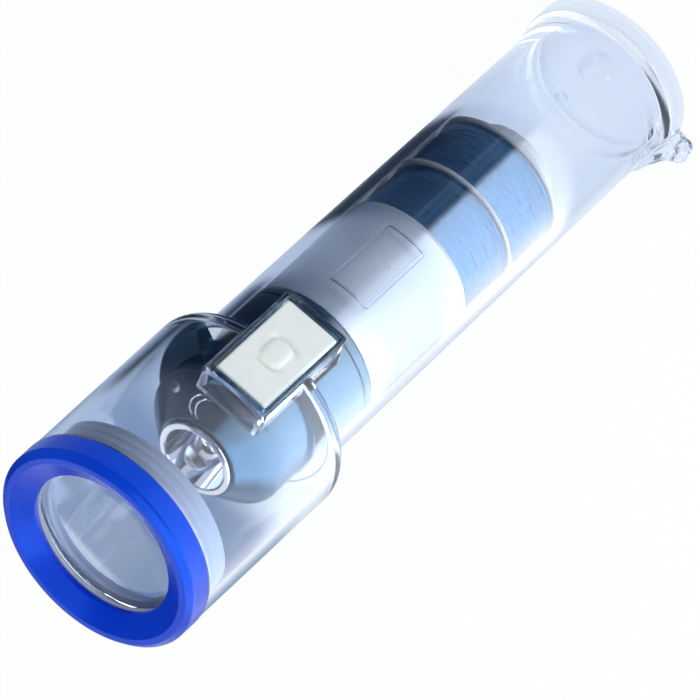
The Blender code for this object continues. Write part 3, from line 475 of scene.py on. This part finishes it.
def make_lamp():
    """The reflector cup and the lamp that stands in it."""
    inside = []
    for k in range(17):
        share = k / 16
        inside.append((2.8 + 4.3 * math.sqrt(share), 129.3 + 10.9 * share))
    outside = [(r + 0.6, z - 0.1) for r, z in reversed(inside[:-1])]
    lip = [(7.4, 140.4), (8.35, 140.4), (8.6, 140.2), (8.6, 139.95), (8.4, 139.8), (7.75, 139.75)]
    cup = inside + lip + outside[1:]
    lathe("reflector", cup, CHROME, ROUND, slot="chrome", replaces=["reflector_cup"])
    bulb = [(0, 128), (2.9, 128), (2.9, 129), (2.5, 129), (2.5, 134.2)]
    bulb += [(2.5 * math.cos(math.pi / 2 * k / 8), 134.2 + 2.5 * math.sin(math.pi / 2 * k / 8))
             for k in range(1, 9)]
    lathe("lamp", bulb, EPOXY, SMALL, slot="lamp_epoxy", replaces=["led_lamp"])


def make_module():
    """The navy housing with its flat below the switch, a stepped edge on one side, and its lid."""
    outer = [
        (9.3, 139.5, 0.4), (MODULE_R, 133.0, 1.0), (MODULE_R, 106.1, 0.4), (12.57, 106.1, 0),
        (12.57, 124.2, 0), (3.0, 124.2, 0), (3.0, 126.2, 0), (8.0, 126.2, 0), (8.0, 139.5, 0.2),
    ]
    housing = lathe("module", rounded(outer, 5), NAVY, ROUND, slot="navy_plastic",
                    replaces=["module_housing"])
    corners = (-22, 109.05), (22, 109.05), (22, 137.15), (-22, 137.15)
    flat = [[(x, y, z) for x, z in corners] for y in (-13.9, -20)]
    boolean(housing, cutter(flat))
    tab = rounded([(15.5, 122.9, 0), (20.4, 122.9, 0.6), (20.4, 125.6, 0.8), (15.5, 127.4, 0)], 5)
    loops = []
    for step in range(41):
        a = math.radians(-40 + 3 * step)
        loops.append([(r * math.cos(a), r * math.sin(a), z) for r, z in tab])
    finish_mesh("module_tab", skin(loops, ring=False, caps=True), NAVY, slot="navy_plastic")
    lid = rounded([(0, 103.7, 0), (MODULE_R, 103.7, 0.4), (MODULE_R, 105.8, 0.4), (0, 105.8, 0)])
    lathe("module_lid", lid, NAVY, ROUND, slot="navy_plastic", replaces=["module_cover"])


def make_fittings():
    """A screw head and two short wires on the module's front, beside the switch."""
    a = math.radians(57)
    tilt = math.radians(46)
    seat = Vector((13.6 * math.sin(a), -13.6 * math.cos(a), 135.2))
    out = Vector((math.sin(a) * math.cos(tilt), -math.cos(a) * math.cos(tilt), math.sin(tilt)))
    side = out.orthogonal().normalized()
    other = out.cross(side)
    loops = []
    head = (1.1, -0.3), (1.1, 0.25), (0.95, 0.5), (0.6, 0.65), (0.35, 0.66), (0.3, 0.35), (0.05, 0.34)
    for radius, rise in head:
        loops.append([seat + out * rise + (side * math.cos(t) + other * math.sin(t)) * radius
                      for t in [2 * math.pi * k / 24 for k in range(24)]])
    finish_mesh("front_screw", skin(loops, ring=False, caps=True), STEEL, slot="screw_steel", sharp=50)
    for name, x in (("front_wire_1", 5.0), ("front_wire_2", 3.6)):
        ends = [Vector(end) for end in ((x, -13.2, 136.4), (x + 0.7, -14.4, 138.0), (x + 1.3, -13.2, 139.0),
                                        (x + 0.9, -11.0, 139.3), (x * 0.9 + 0.4, -9.2, 138.9))]
        path = []
        for k in range(25):
            u = k / 24 * (len(ends) - 1)
            i = min(int(u), len(ends) - 2)
            before, after = ends[max(i - 1, 0)], ends[min(i + 2, len(ends) - 1)]
            t = u - i
            p, q = ends[i], ends[i + 1]
            path.append(0.5 * ((2 * p) + (q - before) * t + (2 * before - 5 * p + 4 * q - after) * t * t
                               + (3 * p - before - 3 * q + after) * t ** 3))
        finish_mesh(name, skin(tube(path, 0.2, 10), ring=False, caps=True), TIN, slot="lead_wire")


def make_switch():
    """The clear frame through the case wall and the push button in it."""
    outer = rect_loop(15.3, 27.5, 0.9)
    inner = rect_loop(13.2, 24.3, 0.6)
    section = [(0, -14.2), (1, -14.2), (1, -21.9), (0.92, -22.22), (0.72, -22.4), (0.28, -22.4),
               (0.08, -22.3), (0, -22.1)]
    loops = [[(b[0] + (a[0] - b[0]) * u, y, SWITCH_LEVEL + b[1] + (a[1] - b[1]) * u)
              for a, b in zip(outer, inner)] for u, y in section]
    finish_mesh("button_frame", skin(loops), CLEAR, slot="clear_case", replaces=["switch_frame"], sharp=40)

    half_x, half_z, edge = 6.3, 11.85, 0.55
    columns, rows = 64, 118

    def height(x, z):
        """Pad height below its highest level, with a raised centre in a shallow dish."""
        corner = 0.9
        dx = max(abs(x) - (half_x - corner), 0)
        dz = max(abs(z) - (half_z - corner), 0)
        inset = corner - math.hypot(dx, dz) if dx and dz else min(half_x - abs(x), half_z - abs(z))
        inset = max(0, min(edge, inset))
        drop = edge - math.sqrt(edge ** 2 - (edge - inset) ** 2)
        reach = (abs(x / 2.7) ** 3 + abs(z / 3.1) ** 3) ** (1 / 3)
        dome = 0.8 * (1 - reach ** 4) ** 0.5 if reach < 1 else 0
        side = math.cos(math.atan2(abs(x), abs(z) + 1e-6)) ** 3
        moat = 0.9 * side * math.exp(-((reach - 1.2) / 0.17) ** 2) if reach >= 1 else 0
        return dome - drop - moat

    bm = bmesh.new()
    grid = []
    for j in range(rows + 1):
        z = -half_z + 2 * half_z * j / rows
        grid.append([])
        for i in range(columns + 1):
            x = -half_x + 2 * half_x * i / columns
            grid[-1].append(bm.verts.new(Vector((x, -(BUTTON_TOP + height(x, z)), SWITCH_LEVEL + z)) * MM))
    for a, b in zip(grid, grid[1:]):
        for i in range(columns):
            bm.faces.new((a[i], a[i + 1], b[i + 1], b[i]))
    rim = grid[0] + [row[-1] for row in grid[1:]] + grid[-1][-2::-1] + [row[0] for row in grid[-2:0:-1]]
    low = [bm.verts.new((v.co.x, -20.4 * MM, v.co.z)) for v in rim]
    for i in range(len(rim)):
        j = (i + 1) % len(rim)
        bm.faces.new((rim[i], rim[j], low[j], low[i]))
    bm.faces.new(low)
    finish_mesh("push_button", bm, CREAM, body="button", slot="cream_button", replaces=["switch_button"])


def winding(name, low, high, node):
    """One unbroken layer of fine wire between two flanges."""
    wire, radius = 0.18, 14.5
    turns = int((high - low - 2 * wire) / (2 * wire + 0.012))
    per_turn = 72
    path = []
    for k in range(turns * per_turn + 1):
        a = 2 * math.pi * k / per_turn
        chance = math.sin((k % per_turn) * 12.9898 + (k // (2 * per_turn)) * 78.233) * 43758.5453 % 1
        level = low + wire + (high - low - 2 * wire) * k / (turns * per_turn)
        path.append(((radius + 0.07 * chance) * math.cos(a), (radius + 0.07 * chance) * math.sin(a), level))
    loops = []
    for middle, loop in zip(path, tube(path, wire, 6)):
        centre = math.hypot(middle[0], middle[1])
        flat = []
        for p in loop:
            r = math.hypot(p.x, p.y)
            pressed = 1 - 0.9 * (r - centre) / r
            flat.append((p.x * pressed, p.y * pressed, p.z))
        loops.append(flat)
    finish_mesh(name, skin(loops, ring=False, caps=True), ENAMEL, slot="coil_enamel",
                replaces=[node], sharp=80)


def make_generator():
    """Bobbin with its three ribs, two coils with their inner layers, and the smoky sleeve in front."""
    corners = [(GUIDE_R - 1, 37.0, 0), (GUIDE_R - 1, SLEEVE_HIGH, 0.2), (GUIDE_R, SLEEVE_HIGH, 0.2)]
    for high, low in RIBS:
        corners += [(GUIDE_R, high, 0), (RIB_R, high, 0.35), (RIB_R, low, 0.35), (GUIDE_R, low, 0)]
    corners += [(GUIDE_R, 37.0, 0)]
    lathe("bobbin", rounded(corners), MILKY, ROUND, slot="milky_plastic", replaces=["coil_bobbin"])
    cores = ("core_front", "coil_core_front", 57.1, 71.7), ("core_rear", "coil_core_rear", 41.6, 56.1)
    for name, node, low, high in cores:
        section = rounded([(8.2, low, 0), (14.28, low, 0.2), (14.28, high, 0.2), (8.2, high, 0)])
        lathe(name, section, CORE, ROUND, slot="coil_core", replaces=[node])
    winding("wire_front", 57.05, 71.75, "coil_winding_front")
    winding("wire_rear", 41.55, 56.15, "coil_winding_rear")
    sleeve = rounded([(14.44, SLEEVE_LOW, 0.2), (15.44, SLEEVE_LOW, 0.2),
                      (15.44, SLEEVE_HIGH, 0.2), (14.44, SLEEVE_HIGH, 0.2)])
    lathe("sleeve", sleeve, SMOKY, ROUND, slot="grey_sleeve", replaces=["spacer_sleeve"])


def dress_solids():
    dress(BOARD, "led_board", "circuit_board", "switch_board")
    dress(SLEEVE_INK, "storage_capacitor")
    dress(BLACK, "rectifier_diode_1", "rectifier_diode_2", "rectifier_diode_3", "rectifier_diode_4",
          "switch_body", "switch_plunger")
    dress(TAN, "lamp_resistor")
    dress(LEAD, "lamp_wire_1", "lamp_wire_2", "coil_lead_1", "coil_lead_2")
    dress(STEEL, "module_screw_1", "module_screw_2")
    dress(RUBBER, "rear_bumper", "front_bumper")
    dress(NICKEL, "shake_magnet")
    dress(MILKY, "guide_end_cap")


# Camera: angles above the floor, round from the front and of the torch in the picture
TILT = math.radians(35.6)
TURN = math.radians(11)
AXIS_ANGLE = math.radians(222.9)
PIXELS_PER_MM = 5.04
LENS_MM = 600.0
SENSOR_MM = 36
IMAGE_SIDE = 700
MIDDLE_LEVEL = 86
MIDDLE_PIXEL = (357.5, 308.0)


def make_camera():
    """Long lens above the torch's front, rolled so that the lens ring points to the lower left."""
    back = Vector((-math.sin(TURN) * math.cos(TILT), -math.cos(TURN) * math.cos(TILT), math.sin(TILT)))
    along = (Vector((0, 0, 1)) - back * back.z).normalized()
    across = back.cross(along)
    right = along * math.cos(AXIS_ANGLE) - across * math.sin(AXIS_ANGLE)
    up = along * math.sin(AXIS_ANGLE) + across * math.cos(AXIS_ANGLE)
    distance = LENS_MM / SENSOR_MM * IMAGE_SIDE / PIXELS_PER_MM
    middle = Vector((0, 0, MIDDLE_LEVEL))
    centre = IMAGE_SIDE / 2
    seen_at = Vector((MIDDLE_PIXEL[0] - centre, centre - MIDDLE_PIXEL[1])) / PIXELS_PER_MM
    aim = middle - right * seen_at.x - up * seen_at.y
    camera = bpy.data.objects.new("camera", bpy.data.cameras.new("camera"))
    bpy.context.scene.collection.objects.link(camera)
    camera.data.lens = LENS_MM
    camera.data.sensor_width = SENSOR_MM
    camera.data.clip_end = 100
    turn = Matrix((right, up, back)).transposed().to_4x4()
    camera.matrix_world = Matrix.Translation((aim + back * distance) * MM) @ turn
    bpy.context.scene.camera = camera


def plain_rays(tree):
    """One where a camera, glossy or transmission ray looks, and zero for the rest."""
    path = tree.nodes.new("ShaderNodeLightPath")
    total = path.outputs["Is Camera Ray"]
    for name in ("Is Glossy Ray", "Is Transmission Ray"):
        add = tree.nodes.new("ShaderNodeMath")
        add.operation = "MAXIMUM"
        tree.links.new(total, add.inputs[0])
        tree.links.new(path.outputs[name], add.inputs[1])
        total = add.outputs["Value"]
    return total


def make_world():
    """White where it is seen, and a softer, cooler fill for the light on the object."""
    world = bpy.data.worlds.new("studio")
    bpy.context.scene.world = world
    world.use_nodes = True
    tree = world.node_tree
    tree.nodes.clear()
    seen = tree.nodes.new("ShaderNodeBackground")
    seen.inputs["Color"].default_value = (1, 1, 1, 1)
    seen.inputs["Strength"].default_value = 1.0
    fill = tree.nodes.new("ShaderNodeBackground")
    fill.inputs["Color"].default_value = (0.86, 0.92, 1.0, 1)
    fill.inputs["Strength"].default_value = 0.6
    mix = tree.nodes.new("ShaderNodeMixShader")
    out = tree.nodes.new("ShaderNodeOutputWorld")
    tree.links.new(plain_rays(tree), mix.inputs["Fac"])
    tree.links.new(fill.outputs[0], mix.inputs[1])
    tree.links.new(seen.outputs[0], mix.inputs[2])
    tree.links.new(mix.outputs[0], out.inputs[0])


def make_floor():
    """A pale floor that glows nearly white where it is seen, and keeps a faint shadow."""
    bm = bmesh.new()
    bmesh.ops.create_grid(bm, x_segments=8, y_segments=8, size=3.0)
    mesh = bpy.data.meshes.new("floor")
    bm.to_mesh(mesh)
    bm.free()
    floor = bpy.data.objects.new("floor", mesh)
    bpy.context.scene.collection.objects.link(floor)
    floor.location.z = -0.00005
    look = bpy.data.materials.new("floor")
    look.use_nodes = True
    tree = look.node_tree
    shader = tree.nodes["Principled BSDF"]
    shader.inputs["Base Color"].default_value = (0.9, 0.91, 0.93, 1)
    shader.inputs["Roughness"].default_value = 0.9
    glow = tree.nodes.new("ShaderNodeEmission")
    glow.inputs["Strength"].default_value = 1.03
    share = tree.nodes.new("ShaderNodeMath")
    share.operation = "MULTIPLY"
    share.inputs[1].default_value = 0.9
    mix = tree.nodes.new("ShaderNodeMixShader")
    tree.links.new(plain_rays(tree), share.inputs[0])
    tree.links.new(share.outputs[0], mix.inputs["Fac"])
    tree.links.new(shader.outputs[0], mix.inputs[1])
    tree.links.new(glow.outputs[0], mix.inputs[2])
    tree.links.new(mix.outputs[0], tree.nodes["Material Output"].inputs["Surface"])
    mesh.materials.append(look)


def lamp(name, place, target, size, radiance, colour=(1, 1, 1)):
    """A rectangular softbox in metres, with its radiance rather than its watts."""
    data = bpy.data.lights.new(name, "AREA")
    data.shape = "RECTANGLE"
    data.size, data.size_y = size
    data.energy = radiance * math.pi * size[0] * size[1]
    data.color = colour
    obj = bpy.data.objects.new(name, data)
    bpy.context.scene.collection.objects.link(obj)
    obj.location = place
    aim = Vector(target) - Vector(place)
    obj.rotation_euler = aim.to_track_quat("-Z", "Y").to_euler()
    obj.visible_camera = False
    return obj


def blend(low, high, share):
    share = max(0.0, min(1.0, share))
    return tuple(a + (b - a) * share for a, b in zip(low, high))


def stops(value, table):
    """Colour at a value from a table of (value, colour) stops."""
    for (a, low), (b, high) in zip(table, table[1:]):
        if value <= b:
            return blend(low, high, (value - a) / (b - a))
    return table[-1][1]


# Tones of the glowing cards, which paint reflections, shade and highlights onto the torch
PALE = (0.79, 0.86, 0.95)
LAVENDER = (0.56, 0.64, 0.78)
GREY = (0.44, 0.54, 0.7)
DUSK = (0.16, 0.22, 0.33)
NIGHT = (0.005, 0.017, 0.04)
WHITE = (1.03, 1.03, 1.03)
SOFT = (1.15, 1.15, 1.15)
BRIGHT = (2.5, 2.5, 2.5)
GLARE = (3.0, 3.4, 3.8)

# Painted reflections: the floor card's tones by angle from -Y towards -X, where each part of the torch reflects the
# floor; dark tones paint shade on the side away from the lug, the thin GREY and DUSK stops paint light streaks on
# the coil, bright tones paint highlights towards the lug, and LENS_TONES paint the greys in the lens
TAIL_TONES = [(-215, PALE), (-172, PALE), (-158, LAVENDER), (-60, LAVENDER), (0, PALE), (20, WHITE),
              (50, WHITE), (80, LAVENDER), (120, LAVENDER), (145, PALE)]
COIL_TONES = [(-215, WHITE), (-205, PALE), (-176, PALE), (-168, GREY), (-158, NIGHT), (-25, NIGHT),
              (-22.5, GREY), (-20, NIGHT), (-15, NIGHT), (-12.5, DUSK), (-10, NIGHT), (-4, NIGHT),
              (4, BRIGHT), (110, BRIGHT), (145, WHITE)]
SLEEVE_TONES = [(-215, WHITE), (-205, PALE), (-176, PALE), (-166, GREY), (-120, GREY), (-50, LAVENDER),
                (0, SOFT), (45, SOFT), (110, WHITE)]
MODULE_TONES = [(-215, WHITE), (-205, PALE), (-176, PALE), (-166, GREY), (-150, GREY), (-138, DUSK),
                (-125, NIGHT), (-4, NIGHT), (5, WHITE), (30, BRIGHT), (60, GLARE), (110, GLARE),
                (145, WHITE)]
LENS_TONES = [(-215, WHITE), (-200, (0.4, 0.5, 0.66)), (-172, (0.15, 0.24, 0.42)), (-140, (0.32, 0.42, 0.6))]
# WALL_TONES paint shade: a dark standing sheet seen only in reflections on the side away from the lug
WALL_TONES = [(-165, WHITE), (-155, NIGHT), (15, NIGHT), (40, WHITE)]
# GLARE_TONES paint a glare highlight: a bright standing sheet seen only in reflections on the lug's side
GLARE_TONES = [(40, WHITE), (60, GLARE), (120, GLARE), (140, WHITE)]

# Radii in metres at which the floor card's tones change, and the radius and height of the sheets
CARD_RADII = [0.001, 0.02, 0.05, 0.058, 0.061, 0.064, 0.09, 0.115, 0.12, 0.14, 0.146, 0.152, 0.17, 0.19,
              0.196, 0.202, 0.208, 0.214, 0.229, 0.26, 0.29, 0.35, 0.6]
SHEET_RADIUS = 0.61
SHEET_HEIGHT = 2.0


def card_tone(radius, angle):
    """Painted reflection tone of the floor card at a radius in metres and an angle in degrees, ring by ring for the
    tail, coil, sleeve, module and lens.
    """
    sleeve = stops(angle, SLEEVE_TONES)
    tone = blend(PALE, stops(angle, TAIL_TONES), (radius - 0.02) / 0.03)
    tone = blend(tone, stops(angle, COIL_TONES), (radius - 0.058) / 0.006)
    tone = blend(tone, sleeve, (radius - 0.115) / 0.005)
    tone = blend(tone, stops(angle, MODULE_TONES), (radius - 0.146) / 0.006)
    tone = blend(tone, sleeve, min((radius - 0.214) / 0.015, (0.29 - radius) / 0.03))
    if angle < -140:
        tone = blend(tone, stops(angle, LENS_TONES), (radius - 0.196) / 0.012)
    return tone


def card(name, corners, faces, tones):
    """A glowing sheet that is seen only in reflections and through the clear plastic, where its tones are painted
    reflections.
    """
    mesh = bpy.data.meshes.new(name)
    mesh.from_pydata(corners, [], faces)
    layer = mesh.color_attributes.new("tone", "FLOAT_COLOR", "POINT")
    for item, tone in zip(layer.data, tones):
        item.color = (*tone, 1)
    obj = bpy.data.objects.new(name, mesh)
    bpy.context.scene.collection.objects.link(obj)
    look = new_look(name, (0, 0, 0), 0.9, Emission_Strength=1.0)
    nodes, links = look.node_tree.nodes, look.node_tree.links
    paint = nodes.new("ShaderNodeVertexColor")
    paint.layer_name = "tone"
    links.new(paint.outputs["Color"], nodes["Principled BSDF"].inputs["Emission Color"])
    mesh.materials.append(look)
    for ray in ("camera", "diffuse", "volume_scatter", "shadow"):
        setattr(obj, "visible_" + ray, False)
    return obj


def grid_faces(rows, columns):
    """Quads of a grid of points that are listed row by row."""
    return [(j * columns + i, j * columns + i + 1, (j + 1) * columns + i + 1, (j + 1) * columns + i)
            for j in range(rows - 1) for i in range(columns - 1)]


def stand_card(name, angles, table):
    """A glowing sheet that stands on the floor round part of the torch, whose tones are painted reflections."""
    corners, tones = [], []
    for height in (0.001, SHEET_HEIGHT):
        for angle in angles:
            a = math.radians(angle)
            corners.append((-SHEET_RADIUS * math.sin(a), -SHEET_RADIUS * math.cos(a), height))
            tones.append(stops(angle, table))
    card(name, corners, grid_faces(2, len(angles)), tones)


def make_cards():
    """Painted reflections: a glowing card on the floor, a dark sheet from the switch to the side away from the lug
    that paints shade, and a bright one on the lug's side that paints a glare highlight.
    """
    angles = [-215 + 2.5 * k for k in range(145)]
    corners, tones = [], []
    for radius in CARD_RADII:
        for angle in angles:
            a = math.radians(angle)
            corners.append((-radius * math.sin(a), -radius * math.cos(a), 0.0005))
            tones.append(card_tone(radius, angle))
    # Floor card whose tones are painted reflections, painted shade and painted highlights on each part
    card("painted_reflection_floor", corners, grid_faces(len(CARD_RADII), len(angles)), tones)
    # Dark standing sheet whose reflection is painted shade on the side away from the lug
    stand_card("painted_shade_wall", [-165 + 5 * k for k in range(42)], WALL_TONES)
    # Bright standing sheet whose reflection is a painted highlight on the lug's side
    stand_card("painted_highlight_wall", [40 + 5 * k for k in range(21)], GLARE_TONES)


make_case()
make_lug()
make_panel()
make_front()
make_lamp()
make_module()
make_fittings()
make_switch()
make_generator()
dress_solids()
make_camera()
make_world()
make_floor()
lamp("low_softbox", (-0.215, 0.0, 0.0003), (-0.215, 0.0, 1.0), (0.31, 0.36), 1.6, (0.82, 0.91, 1.0))
lamp("top_softbox", (-0.3, -0.5, 0.9), (0, 0, 0.1), (0.7, 0.7), 1.9, (1.0, 1.0, 1.0))
make_cards()
bpy.context.scene.view_settings.view_transform = "Standard"

# Long paths through the clear walls
bpy.context.scene.cycles.max_bounces = 40
bpy.context.scene.cycles.transmission_bounces = 40
bpy.context.scene.cycles.glossy_bounces = 20
